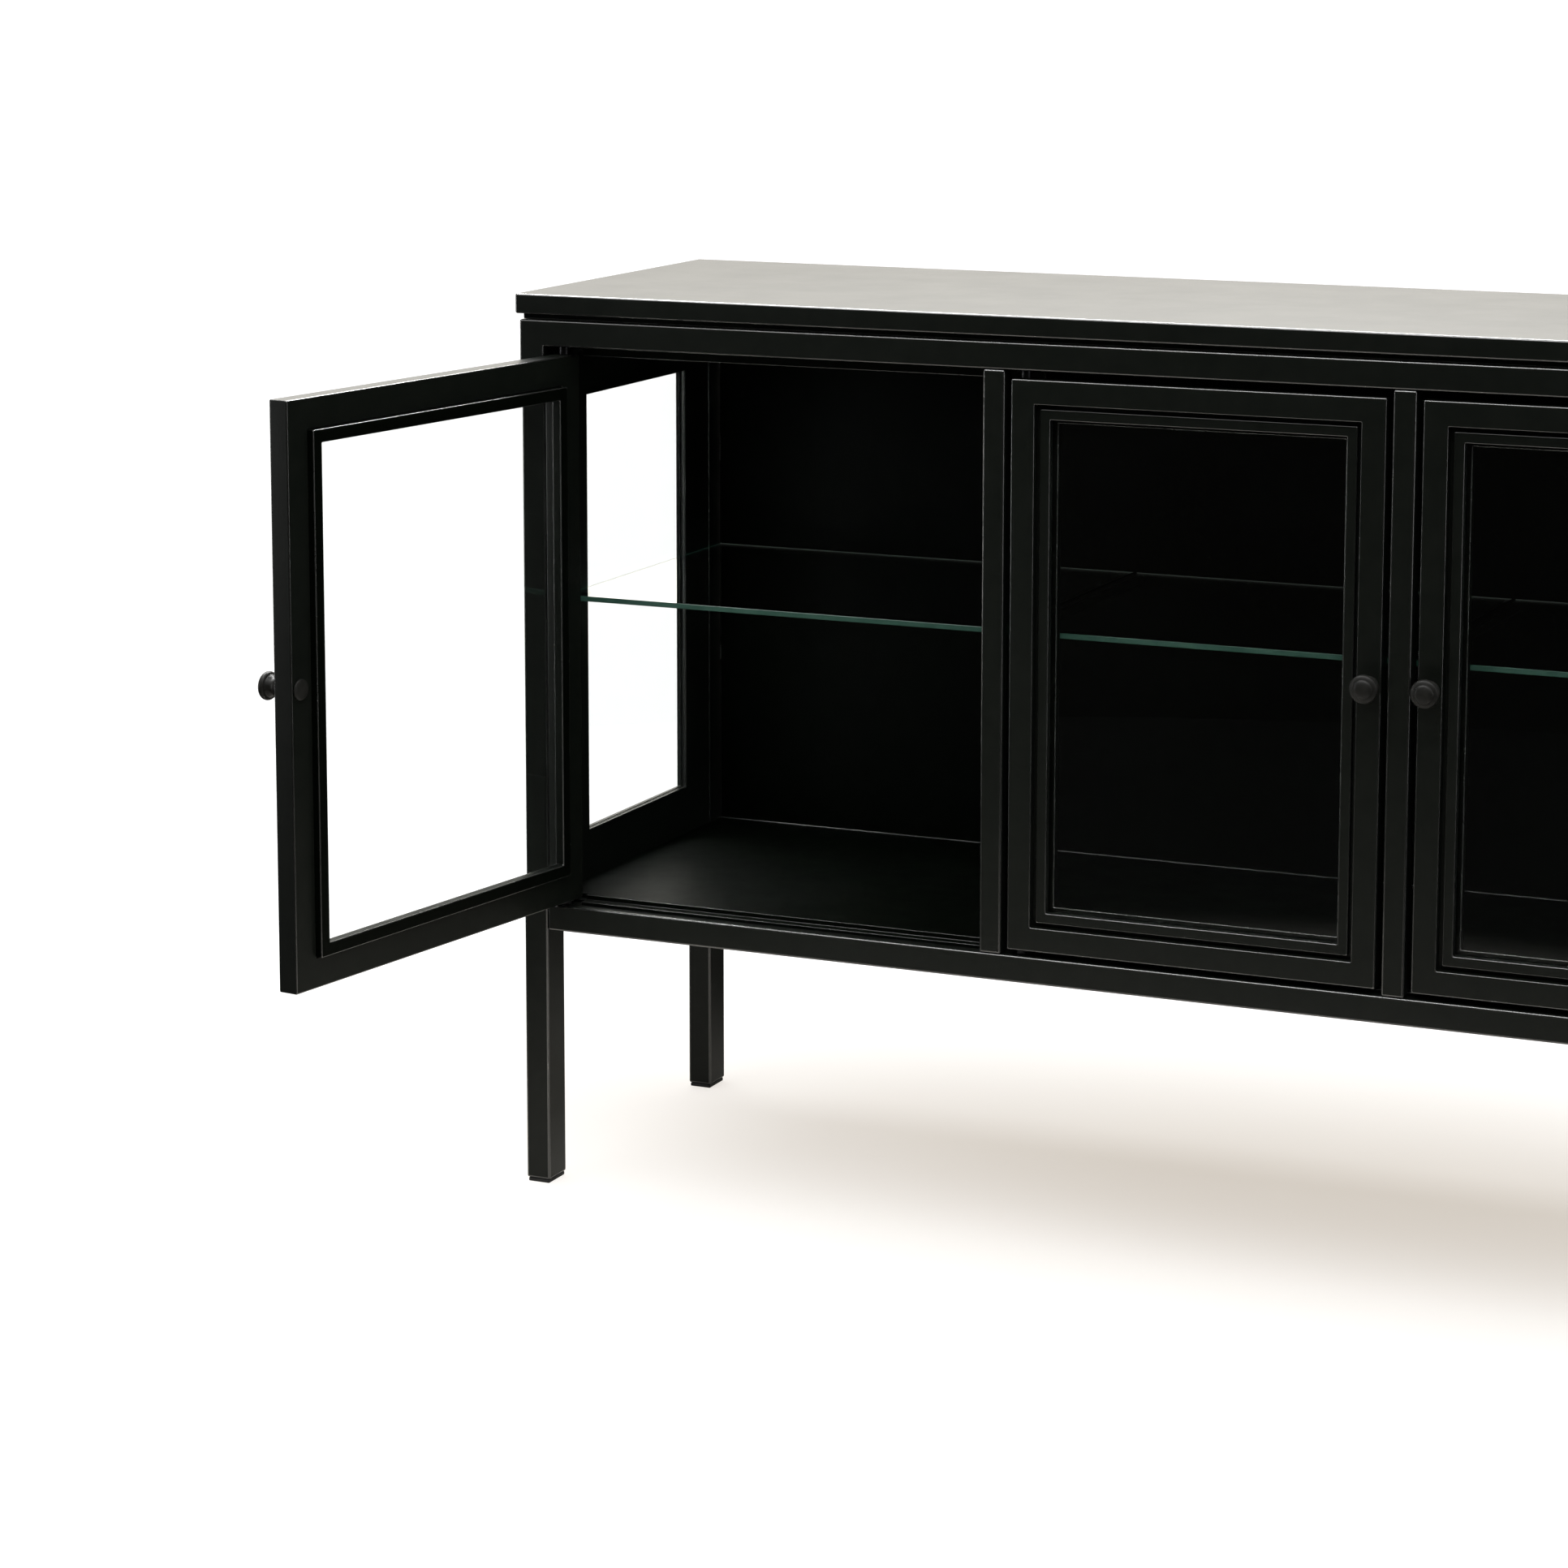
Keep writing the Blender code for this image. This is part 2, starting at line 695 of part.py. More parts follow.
def add_shelves(root):
    """A glass shelf in each bay, carried by pins in the side panels and by bars behind the mullions."""
    shelf_bottom = SHELF_TOP - SHELF_THICKNESS
    middles = [left + MULLION_WIDTH / 2 for _, left in MULLIONS]
    ends = [POST_WIDTH + SHELF_END_GAP, middles[0], middles[1], POST_RIGHT - SHELF_END_GAP]
    for index, name in enumerate(("left", "centre", "right")):
        low = ends[index] + (SHELF_END_GAP / 2 if index > 0 else 0)
        high = ends[index + 1] - (SHELF_END_GAP / 2 if index < 2 else 0)
        shelf = add_box(
            f"shelf_{name}",
            (low, SHELF_FRONT, shelf_bottom),
            (high, SHELF_BACK, SHELF_TOP),
            root,
            "clear_glass",
        )
        round_edges(shelf, 0.0006, 1)
    for (name, _), middle in zip(MULLIONS, middles):
        add_box(
            f"shelf_bar_{name}",
            (middle - SHELF_BAR_WIDTH / 2, SHELF_FRONT, shelf_bottom - GAP - SHELF_BAR_HEIGHT),
            (middle + SHELF_BAR_WIDTH / 2, BACK_FRONT - GAP, shelf_bottom - GAP),
            root,
            "black_powder_coat",
        )
    pin_z = shelf_bottom - GAP - SHELF_PIN_RADIUS
    for side, wall, inwards in ("left", POST_WIDTH, 1), ("right", POST_RIGHT, -1):
        for end, pin_y in ("front", SHELF_PIN_INSET), ("rear", FRAME_DEPTH - SHELF_PIN_INSET):
            pin = add_turned(
                f"shelf_pin_{side}_{end}",
                rod_profile(GAP, SHELF_PIN_LENGTH, SHELF_PIN_RADIUS),
                PIN_SIDES,
                root,
                "pivot_steel",
                (wall, pin_y, pin_z),
                "X",
            )
            pin.rotation_euler.z = 0 if inwards > 0 else math.pi


def build():
    clear_scene()
    root = add_empty("cabinet", (-POST_WIDTH / 2, -POST_DEPTH / 2, 0))
    add_frames(root)
    add_top_panel(root)
    add_ceiling_panel(root)
    add_floor_panel(root)
    add_back_panel(root)
    for side in ("left", "right"):
        add_side_panel(side, root)
    for door in DOORS:
        add_door(root, *door)
    add_shelves(root)


build()
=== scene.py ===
"""Looks of the glass-door display cabinet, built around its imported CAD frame."""

import json
import math

import bmesh
import bpy
from mathutils import Matrix, Vector


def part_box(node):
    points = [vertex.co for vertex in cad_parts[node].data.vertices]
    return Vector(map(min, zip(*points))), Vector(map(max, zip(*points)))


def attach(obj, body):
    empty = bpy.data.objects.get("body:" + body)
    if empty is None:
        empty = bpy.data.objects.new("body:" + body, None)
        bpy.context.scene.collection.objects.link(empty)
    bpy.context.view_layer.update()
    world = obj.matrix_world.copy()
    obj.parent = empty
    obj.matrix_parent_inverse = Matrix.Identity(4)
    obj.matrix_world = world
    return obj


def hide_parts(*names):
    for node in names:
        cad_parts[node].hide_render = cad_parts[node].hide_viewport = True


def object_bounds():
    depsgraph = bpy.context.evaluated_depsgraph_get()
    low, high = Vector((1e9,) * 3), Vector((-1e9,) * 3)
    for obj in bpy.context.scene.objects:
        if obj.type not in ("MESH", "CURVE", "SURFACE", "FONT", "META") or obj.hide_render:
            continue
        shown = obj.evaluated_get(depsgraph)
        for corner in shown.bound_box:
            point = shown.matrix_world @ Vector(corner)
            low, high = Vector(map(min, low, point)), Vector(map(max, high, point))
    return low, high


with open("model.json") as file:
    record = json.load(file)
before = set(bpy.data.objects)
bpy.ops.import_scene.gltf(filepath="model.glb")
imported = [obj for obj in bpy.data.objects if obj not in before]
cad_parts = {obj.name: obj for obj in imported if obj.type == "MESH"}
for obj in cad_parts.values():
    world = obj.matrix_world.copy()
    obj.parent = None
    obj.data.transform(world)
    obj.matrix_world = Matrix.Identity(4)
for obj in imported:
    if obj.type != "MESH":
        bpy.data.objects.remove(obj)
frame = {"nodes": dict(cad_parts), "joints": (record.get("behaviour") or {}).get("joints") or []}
cad_low, cad_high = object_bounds()

CARCASS = "carcass"
DOORS = ("left", "centre", "right")
SIDES = ("left", "right")
GAP = 0.0003

# Door frame section, measured inwards from its outer edge and back from its face
DOOR_FACE = 0.0224
DOOR_GROOVE_END = 0.0267
DOOR_GROOVE_DEPTH = 0.009
DOOR_LIP_SETBACK = 0.0039
DOOR_LIP_BACK = 0.0119
DOOR_LIP_END = 0.0363
DOOR_REBATE = 0.028
DOOR_BEAD_END = 0.0403

# Side panel section, measured the same way from its outer face
SIDE_BORDER = 0.0557
SIDE_REBATE = 0.0477
SIDE_INNER_LIP = 0.003

# Top slab and the plinth that holds it off the frame
TOP_THICKNESS = 0.019
PLINTH_INSET = 0.006

# Hem where the floor sheet turns up against the back panel
HEM_DEPTH = 0.0024
HEM_SINK = 0.001
HEM_HEIGHT = 0.0012

# Knob, as distances out from the door's face and radii about its axis
KNOB_BASE = ((GAP, 0), (GAP, 0.0092), (0.0006, 0.0097), (0.0014, 0.0097))
KNOB_WAIST_START = 0.0020
KNOB_WAIST_LENGTH = 0.0085
KNOB_WAIST_RADIUS = 0.0078
KNOB_WAIST_FLARE = 0.0018
KNOB_RIM_CENTRE = 0.0150
KNOB_RIM_RADIUS = 0.0098
KNOB_RIM_ROUND = 0.0032
KNOB_DISH = ((0.0184, 0.0096), (0.0186, 0.0090))
KNOB_DOME_START = 0.0188
KNOB_DOME_RADIUS = 0.0088
KNOB_DOME_HEIGHT = 0.0027
KNOB_WAIST_STEPS = 8
KNOB_SIDES = 64

# Screw cap on the door's inner face, measured the same way
CAP_RADIUS = 0.0095
CAP_EASE = 0.0003
CAP_EDGE = 0.0012
CAP_DOME_HEIGHT = 0.0018
CAP_SIDES = 48

# Rounding
TUBE_RADIUS = 0.0020
SHEET_RADIUS = 0.0010
FOLD_RADIUS = 0.0014
BEAD_RADIUS = 0.0009
DOOR_EDGE_RADIUS = 0.0014
DOOR_CORNER_RADIUS = 0.0012
HEM_RADIUS = HEM_HEIGHT * 0.9
PEG_RADIUS = SHEET_RADIUS * 0.5
PIVOT_RADIUS = SHEET_RADIUS * 0.3
GLASS_ARRIS = 0.0005
ROUND_STEPS = 3
PIN_STEPS = 2
CORNER_STEPS = 4
FILLET_STEPS = 3

# Angles in degrees: faces that join as one, edges that are rounded, edges that stay sharp in the shading
FLAT_ANGLE = 1
ROUNDED_ANGLE = 50
SHADING_ANGLE = 40
PANE_SHADING_ANGLE = 20
TURNED_SHADING_ANGLE = 30

# Camera and light
CAMERA_PLACE = Vector((1.8947, -3.6092, 1.2630))
CAMERA_AZIMUTH = 24.43
CAMERA_FALL = 8.62
CAMERA_LENS = 98.75
CAMERA_SHIFT_DOWN = 0.165
WALL_DIRECTION = Vector((-0.41, 0.90, 0.17))
WALL_HALF_ANGLES = (25, 60)
WALL_STRENGTH = 2.3
WALL_COLOUR = (1.0, 0.967, 0.885, 1)
ROOM_STRENGTH = 0.012
FLOOR_WHITE_STRENGTH = 1.4
BACKDROP_STRENGTH = 1.25
FLOOR_RADIUS = 2.6
# Painted shadow outline: an ellipse drawn round the cabinet's shadow, outside which the floor glows white
PAINTED_SHADOW_SCALE = (0.45, 1, 0)
PAINTED_SHADOW_SHIFT = (-0.045, -0.28, 0)
PAINTED_SHADOW_FADE = (0.05, 0.95)
BOUNCE_CENTRE = (-0.1, -0.25, 0)
BOUNCE_FADE = (0.60, 1.12)
# Painted glow of the floor, seen directly, that lifts and warms its shadow
FLOOR_PAINTED_GLOW = (0.525, 0.472, 0.416, 1)
FLOOR_BOUNCE = (0.98, 0.94, 0.88, 1)
FLOOR_DARK = (0.02, 0.02, 0.02, 1)


# ---------------------------------------------------------------- materials


class Shader:
    """A material's nodes, with the few calls that the finishes below need."""

    def __init__(self, name):
        self.material = bpy.data.materials.new(name)
        self.material.use_nodes = True
        self.tree = self.material.node_tree
        self.principled = self.tree.nodes["Principled BSDF"]
        self.output = self.tree.nodes["Material Output"]
        self.place = self.tree.nodes.new("ShaderNodeTexCoord").outputs["Object"]

    def set(self, **values):
        for name, value in values.items():
            self.principled.inputs[name.replace("_", " ")].default_value = value
        return self

    def link(self, source, target):
        self.tree.links.new(source, target)

    def noise(self, scale, detail=4.0, roughness=0.5, stretch=None):
        node = self.tree.nodes.new("ShaderNodeTexNoise")
        node.inputs["Scale"].default_value = scale
        node.inputs["Detail"].default_value = detail
        node.inputs["Roughness"].default_value = roughness
        place = self.place
        if stretch:
            mapping = self.tree.nodes.new("ShaderNodeMapping")
            mapping.inputs["Scale"].default_value = stretch
            self.link(place, mapping.inputs["Vector"])
            place = mapping.outputs["Vector"]
        self.link(place, node.inputs["Vector"])
        return node.outputs["Fac"]

    def cells(self, scale):
        node = self.tree.nodes.new("ShaderNodeTexVoronoi")
        node.inputs["Scale"].default_value = scale
        self.link(self.place, node.inputs["Vector"])
        return node.outputs["Distance"]

    def ramp(self, source, low, high, start=0.3, end=0.7):
        """Maps source from start..end to low..high, numbers or colours."""
        node = self.tree.nodes.new("ShaderNodeValToRGB")
        first, last = node.color_ramp.elements
        first.position, last.position = start, end
        first.color = low if isinstance(low, tuple) else (low, low, low, 1)
        last.color = high if isinstance(high, tuple) else (high, high, high, 1)
        self.link(source, node.inputs["Fac"])
        return node.outputs["Color"]

    def bump(self, source, strength, distance, below=None):
        node = self.tree.nodes.new("ShaderNodeBump")
        node.inputs["Strength"].default_value = strength
        node.inputs["Distance"].default_value = distance
        self.link(source, node.inputs["Height"])
        if below:
            self.link(below, node.inputs["Normal"])
        return node.outputs["Normal"]

    def feed(self, source, socket):
        self.link(source, self.principled.inputs[socket])
        return self


def mix_shaders(tree, factor, first, second):
    mix = tree.nodes.new("ShaderNodeMixShader")
    tree.links.new(factor, mix.inputs["Fac"])
    tree.links.new(first, mix.inputs[1])
    tree.links.new(second, mix.inputs[2])
    return mix.outputs["Shader"]


def powder_coat(name, dark, light, rough_low, rough_high, specular, peel=0.10):
    """Black powder coat: fine orange peel over faint cloudy gloss changes and a fine cellular grain."""
    shader = Shader(name).set(Metallic=0.0, Specular_IOR_Level=specular)
    shader.feed(shader.ramp(shader.noise(60, 6), dark, light), "Base Color")
    shader.feed(shader.ramp(shader.noise(14, 5, 0.6), rough_low, rough_high), "Roughness")
    waves = shader.bump(shader.noise(420, 3), peel, 0.0006)
    grain = shader.bump(shader.cells(1500), peel * 0.6, 0.0003, waves)
    return shader.feed(grain, "Normal").material


def turned_black():
    """The knobs: semi-gloss black over fine turning rings about the knob's own axis."""
    shader = Shader("knob_black").set(Metallic=0.0, Specular_IOR_Level=0.14)
    black = shader.ramp(shader.noise(90, 4), (0.010, 0.010, 0.009, 1), (0.018, 0.018, 0.016, 1))
    shader.feed(black, "Base Color")
    shader.feed(shader.ramp(shader.noise(60, 4), 0.36, 0.44), "Roughness")
    rings = shader.tree.nodes.new("ShaderNodeTexWave")
    rings.wave_type = "RINGS"
    rings.rings_direction = "Y"
    rings.inputs["Scale"].default_value = 700
    rings.inputs["Distortion"].default_value = 0.4
    shader.link(shader.place, rings.inputs["Vector"])
    return shader.feed(shader.bump(rings.outputs["Fac"], 0.05, 0.0002), "Normal").material


def clear_glass(name):
    """Refracting glass that lets light pass in shadows, its green cast drifting a little across the pane."""
    shader = Shader(name).set(Transmission_Weight=1.0, IOR=1.45, Roughness=0.0)
    cast = shader.ramp(shader.noise(5, 3), (0.965, 0.985, 0.975, 1), (0.985, 0.997, 0.99, 1))
    shader.feed(cast, "Base Color")
    through = shader.tree.nodes.new("ShaderNodeBsdfTransparent")
    through.inputs["Color"].default_value = (0.93, 0.95, 0.94, 1)
    shadow = shader.tree.nodes.new("ShaderNodeLightPath").outputs["Is Shadow Ray"]
    both = mix_shaders(shader.tree, shadow, shader.principled.outputs["BSDF"], through.outputs["BSDF"])
    shader.link(both, shader.output.inputs["Surface"])
    return shader.material


def glass_edge(name, painted_glow):
    """The ground and polished edge of a glass shelf: deep green, with a faint painted glow."""
    shader = Shader(name).set(Specular_IOR_Level=0.25, Roughness=0.22)
    green = shader.ramp(shader.noise(35, 5, 0.6), (0.020, 0.050, 0.038, 1), (0.034, 0.075, 0.058, 1))
    shader.feed(green, "Base Color")
    # Painted glow: the edge lights itself a little
    shader.set(Emission_Color=(*painted_glow, 1), Emission_Strength=0.012)
    return shader.feed(shader.bump(shader.noise(700, 3), 0.05, 0.0002), "Normal").material


def brushed_steel():
    """Blackened pivot steel with turning marks across the pin."""
    shader = Shader("pivot_steel").set(Metallic=1.0)
    marks = shader.noise(40, 6, 0.6, stretch=(1, 1, 60))
    shader.feed(shader.ramp(marks, (0.010, 0.010, 0.011, 1), (0.030, 0.030, 0.031, 1)), "Base Color")
    shader.feed(shader.ramp(marks, 0.25, 0.45), "Roughness")
    return shader.feed(shader.bump(marks, 0.15, 0.0002), "Normal").material


def moulded_plastic():
    """Black moulded plastic with a fine spark-eroded grain."""
    shader = Shader("foot_plastic").set(Specular_IOR_Level=0.35)
    black = shader.ramp(shader.noise(150, 5), (0.006, 0.006, 0.006, 1), (0.011, 0.011, 0.011, 1))
    shader.feed(black, "Base Color")
    shader.feed(shader.ramp(shader.noise(80, 4), 0.5, 0.65), "Roughness")
    return shader.feed(shader.bump(shader.cells(1800), 0.2, 0.0003), "Normal").material


COAT = powder_coat(
    "powder_coat",
    dark=(0.0036, 0.0050, 0.0036, 1),
    light=(0.0054, 0.0068, 0.0052, 1),
    rough_low=0.36,
    rough_high=0.39,
    specular=0.16,
)
# Lighter colour than the coat: a painted highlight along the rounded edges
COAT_EDGE_PAINTED_HIGHLIGHT = powder_coat(
    "powder_coat_edge_painted_highlight",
    dark=(0.0060, 0.0068, 0.0058, 1),
    light=(0.0100, 0.0108, 0.0096, 1),
    rough_low=0.20,
    rough_high=0.26,
    specular=1.0,
    peel=0.05,
)
# Darker and matter than the powder coat; its darkness is painted shade on the inner sheets, door beads,
# floor hem and the top's plinth
PANEL_PAINTED_SHADE = powder_coat(
    "panel_coat",
    dark=(0.0007, 0.0015, 0.0007, 1),
    light=(0.0014, 0.0022, 0.0012, 1),
    rough_low=0.40,
    rough_high=0.50,
    specular=0.036,
    peel=0.08,
)
# Far lighter than the panel coat: a painted highlight along the sheets' folds and edges
PANEL_EDGE_PAINTED_HIGHLIGHT = powder_coat(
    "panel_coat_edge_painted_highlight",
    dark=(0.0160, 0.0168, 0.0156, 1),
    light=(0.0230, 0.0240, 0.0224, 1),
    rough_low=0.22,
    rough_high=0.30,
    specular=1.0,
    peel=0.02,
)
KNOB = turned_black()
GLASS = clear_glass("clear_glass")
# Faint green painted glow along the shelves' front and outer edges
GLASS_EDGE = glass_edge("glass_edge", (0.30, 0.85, 0.62))
# Bright painted glow that makes the shelves' rear edges look pale
GLASS_FAR_EDGE_PAINTED_GLOW = glass_edge("glass_far_edge_painted_glow", (2.8, 3.1, 2.8))
STEEL = brushed_steel()
PLASTIC = moulded_plastic()

# The glossier coat on the rounded edges of each finish, its lighter colour a painted highlight; for glass, a
# green edge with a painted glow
EDGE_OF = {COAT: COAT_EDGE_PAINTED_HIGHLIGHT, PANEL_PAINTED_SHADE: PANEL_EDGE_PAINTED_HIGHLIGHT, GLASS: GLASS_EDGE}


# ------------------------------------------------------------------- pieces

# Places in a piece's list of materials; the last two are only on shelves
FACE, EDGE, PAINTED_GLOW_EDGE, PAINTED_SHADE_EDGE = 0, 1, 2, 3


def add_piece(name, mesh, material, body, nodes, space=None, angle=SHADING_ANGLE):
    """Links a finished mesh as a piece of its body, standing for those CAD nodes."""
    obj = bpy.data.objects.new(name, mesh)
    bpy.context.scene.collection.objects.link(obj)
    if space:
        obj.matrix_world = space
    mesh.materials.append(material)
    mesh.materials.append(EDGE_OF.get(material, material))
    mesh.shade_smooth()
    mesh.set_sharp_from_angle(angle=math.radians(angle))
    normals = obj.modifiers.new("weighted_normals", "WEIGHTED_NORMAL")
    normals.keep_sharp = True
    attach(obj, body)
    if nodes:
        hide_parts(*nodes)
    return obj


def mesh_from(shape, name):
    bmesh.ops.recalc_face_normals(shape, faces=shape.faces)
    mesh = bpy.data.meshes.new(name)
    shape.to_mesh(mesh)
    shape.free()
    return mesh


def soften(shape, radius, steps=ROUND_STEPS):
    """Joins the flat triangles of a mesh and rounds every edge that is left, marking the rounded strips."""
    bmesh.ops.remove_doubles(shape, verts=shape.verts, dist=1e-6)
    flat = math.radians(FLAT_ANGLE)
    bmesh.ops.dissolve_limit(shape, angle_limit=flat, verts=shape.verts, edges=shape.edges)
    sharp = [edge for edge in shape.edges if edge.calc_face_angle(0) > math.radians(ROUNDED_ANGLE)]
    rounded = bmesh.ops.bevel(
        shape, geom=sharp, offset=radius, segments=steps, profile=0.5, affect="EDGES", clamp_overlap=True
    )
    for face in rounded["faces"]:
        face.material_index = EDGE
    return shape


def softened_node(node, radius, material, name, steps=ROUND_STEPS):
    """A piece of the carcass with the CAD node's own shape and rounded edges."""
    shape = bmesh.new()
    shape.from_mesh(frame["nodes"][node].data)
    mesh = mesh_from(soften(shape, radius, steps), f"{node}_mesh")
    add_piece(name, mesh, material, CARCASS, [node])


def box_shape(low, high):
    shape = bmesh.new()
    low, high = Vector(low), Vector(high)
    size = Matrix.Diagonal((*(high - low), 1.0))
    bmesh.ops.create_cube(shape, size=1.0, matrix=Matrix.Translation((low + high) / 2) @ size)
    return shape


def rounded_box(low, high, radius, steps=ROUND_STEPS):
    return soften(box_shape(low, high), radius, steps)


def temporary(shape):
    obj = bpy.data.objects.new("temporary", mesh_from(shape, "temporary"))
    bpy.context.scene.collection.objects.link(obj)
    return obj


def welded(boxes, radius):
    """One body from boxes that overlap, with its outer edges rounded."""
    first, *others = [temporary(box_shape(low, high)) for low, high in boxes]
    for other in others:
        union = first.modifiers.new("union", "BOOLEAN")
        union.operation = "UNION"
        union.object = other
    graph = bpy.context.evaluated_depsgraph_get()
    shape = bmesh.new()
    shape.from_mesh(first.evaluated_get(graph).data)
    for obj in (first, *others):
        bpy.data.objects.remove(obj)
    return soften(shape, radius)


def local_box(node, space):
    """Lowest and highest corner of a CAD node in another space."""
    inverse = space.inverted()
    points = [inverse @ vertex.co for vertex in frame["nodes"][node].data.vertices]
    low = Vector(min(point[axis] for point in points) for axis in range(3))
    high = Vector(max(point[axis] for point in points) for axis in range(3))
    return low, high


def filleted(section):
    """Section points (inset, depth, radius) with each square corner turned into an arc of its radius, and
    for each point whether an arc goes on from it."""
    line = []
    for index, (inset, depth, radius) in enumerate(section):
        corner = Vector((inset, depth))
        if radius == 0:
            line.append((corner, FACE))
            continue
        back = (Vector(section[index - 1][:2]) - corner).normalized() * radius
        ahead = (Vector(section[(index + 1) % len(section)][:2]) - corner).normalized() * radius
        for step in range(FILLET_STEPS + 1):
            turn = math.pi / 2 * step / FILLET_STEPS
            point = corner + back * (1 - math.sin(turn)) + ahead * (1 - math.cos(turn))
            line.append((point, EDGE if step < FILLET_STEPS else FACE))
    return line


def ring_shape(low, high, section, corner_radius):
    """A mitred frame in the XZ plane: the section runs round it, with its corners eased."""
    shape = bmesh.new()
    rings = []
    line = filleted(section)
    for (inset, depth), _ in line:
        ring = []
        corners = (
            (low.x + inset, low.z + inset, 180),
            (high.x - inset, low.z + inset, 270),
            (high.x - inset, high.z - inset, 0),
            (low.x + inset, high.z - inset, 90),
        )
        for x, z, start in corners:
            towards = math.radians(start + 45)
            centre_x = x - math.copysign(corner_radius, math.cos(towards))
            centre_z = z - math.copysign(corner_radius, math.sin(towards))
            for step in range(CORNER_STEPS + 1):
                turn = math.radians(start + 90 * step / CORNER_STEPS)
                point = (
                    centre_x + corner_radius * math.cos(turn),
                    low.y + depth,
                    centre_z + corner_radius * math.sin(turn),
                )
                ring.append(shape.verts.new(point))
        rings.append(ring)
    for index, here in enumerate(rings):
        there = rings[(index + 1) % len(rings)]
        for step in range(len(here)):
            following = (step + 1) % len(here)
            face = shape.faces.new((here[step], here[following], there[following], there[step]))
            face.material_index = line[index][1]
    return shape


def rectangle_section(inset, reach, front, back, radius):
    """A plain bead, rounded on the side that shows."""
    return (inset, front, 0), (reach, front, radius), (reach, back, radius), (inset, back, radius)


def turned_shape(profile, sides):
    """A turned solid about the Y axis from (distance towards -Y, radius) points, both ends on the axis."""
    shape = bmesh.new()
    rings = []
    for along, radius in profile:
        if radius == 0:
            rings.append([shape.verts.new((0, -along, 0))])
            continue
        turns = [2 * math.pi * step / sides for step in range(sides)]
        rings.append([shape.verts.new((radius * math.cos(t), -along, radius * math.sin(t))) for t in turns])
    for near, far in zip(rings, rings[1:]):
        for step in range(sides):
            following = (step + 1) % sides
            corners = [near[step % len(near)], near[following % len(near)]]
            corners += [far[following % len(far)], far[step % len(far)]]
            shape.faces.new(list(dict.fromkeys(corners)))
    return shape


# ------------------------------------------------------------------ carcass


def add_welded_frame(node, name):
    """The two posts and the upper rail between them, as one welded body."""
    low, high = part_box(node)
    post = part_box("lower_side_rail_left")
    post_width = post[1].x - post[0].x
    rail_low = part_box("upper_side_rail_left")[0].z
    front = node == "front_frame"
    rail_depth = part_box("mullion_left")[1].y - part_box("mullion_left")[0].y
    rail_y = (low.y, low.y + rail_depth) if front else (high.y - rail_depth, high.y)
    rail_ends = (low.x + post_width / 2, high.x - post_width / 2)
    boxes = [((rail_ends[0], rail_y[0], rail_low), (rail_ends[1], rail_y[1], high.z))]
    for left in (low.x, high.x - post_width):
        boxes.append(((left, low.y, low.z), (left + post_width, high.y, high.z)))
    shape = welded(boxes, TUBE_RADIUS)
    add_piece(name, mesh_from(shape, name), COAT, CARCASS, [node])


def add_carcass():
    add_welded_frame("front_frame", "front_frame_welded")
    add_welded_frame("rear_frame", "rear_frame_welded")
    rails = ["lower_front_rail", "lower_rear_rail"]
    rails += [f"{level}_side_rail_{side}" for level in ("upper", "lower") for side in SIDES]
    rails += [f"mullion_{side}" for side in SIDES]
    for node in rails:
        low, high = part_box(node)
        mesh = mesh_from(rounded_box(low, high, TUBE_RADIUS), f"{node}_mesh")
        add_piece(f"{node}_tube", mesh, COAT, CARCASS, [node])
    add_top()
    # Inner sheets in the darker coat, which is painted shade inside the cabinet
    for node in ("floor_panel", "ceiling_panel", "back_panel"):
        softened_node(node, FOLD_RADIUS, PANEL_PAINTED_SHADE, f"{node}_sheet")
    add_floor_hem()
    for side in SIDES:
        softened_node(f"shelf_bar_{side}", SHEET_RADIUS, COAT, f"shelf_bar_{side}_tube")
        for end in ("front", "rear"):
            node = f"foot_{end}_{side}"
            softened_node(node, SHEET_RADIUS, PLASTIC, f"{node}_glide")
    for door in DOORS:
        node = f"magnet_catch_{door}"
        softened_node(node, SHEET_RADIUS, PLASTIC, f"{node}_case")


def add_top():
    """The top slab on its narrower plinth, which makes the shadow gap; the plinth's darker coat is painted
    shade in the gap.
    """
    low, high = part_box("top_panel")
    top = rounded_box((low.x, low.y, high.z - TOP_THICKNESS), high, TUBE_RADIUS)
    add_piece("top_panel_slab", mesh_from(top, "top_slab"), COAT, CARCASS, ["top_panel"])
    plinth = rounded_box(
        (low.x + PLINTH_INSET, low.y + PLINTH_INSET, low.z),
        (high.x - PLINTH_INSET, high.y - PLINTH_INSET, high.z - TOP_THICKNESS / 2),
        SHEET_RADIUS,
    )
    add_piece("top_panel_plinth", mesh_from(plinth, "top_plinth"), PANEL_PAINTED_SHADE, CARCASS, [])


def add_floor_hem():
    """The thin rounded hem where the floor sheet turns up against the back panel."""
    floor_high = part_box("floor_panel")[1]
    inner_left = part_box("side_panel_left")[1].x
    inner_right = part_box("side_panel_right")[0].x
    low = (inner_left + GAP, floor_high.y - HEM_DEPTH, floor_high.z - HEM_SINK)
    high = (inner_right - GAP, floor_high.y, floor_high.z + HEM_HEIGHT)
    mesh = mesh_from(rounded_box(low, high, HEM_RADIUS), "floor_hem")
    # The hem's darker coat is painted shade at the back of the floor
    add_piece("floor_panel_hem", mesh, PANEL_PAINTED_SHADE, CARCASS, [])


def side_space(side):
    """The space of a side panel: its outer face is at y = 0, and y grows inwards."""
    low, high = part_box(f"side_panel_{side}")
    left = side == "left"
    face = Vector((low.x, high.y, low.z)) if left else Vector((high.x, low.y, low.z))
    return Matrix.Translation(face) @ Matrix.Rotation(math.radians(-90 if left else 90), 4, "Z")


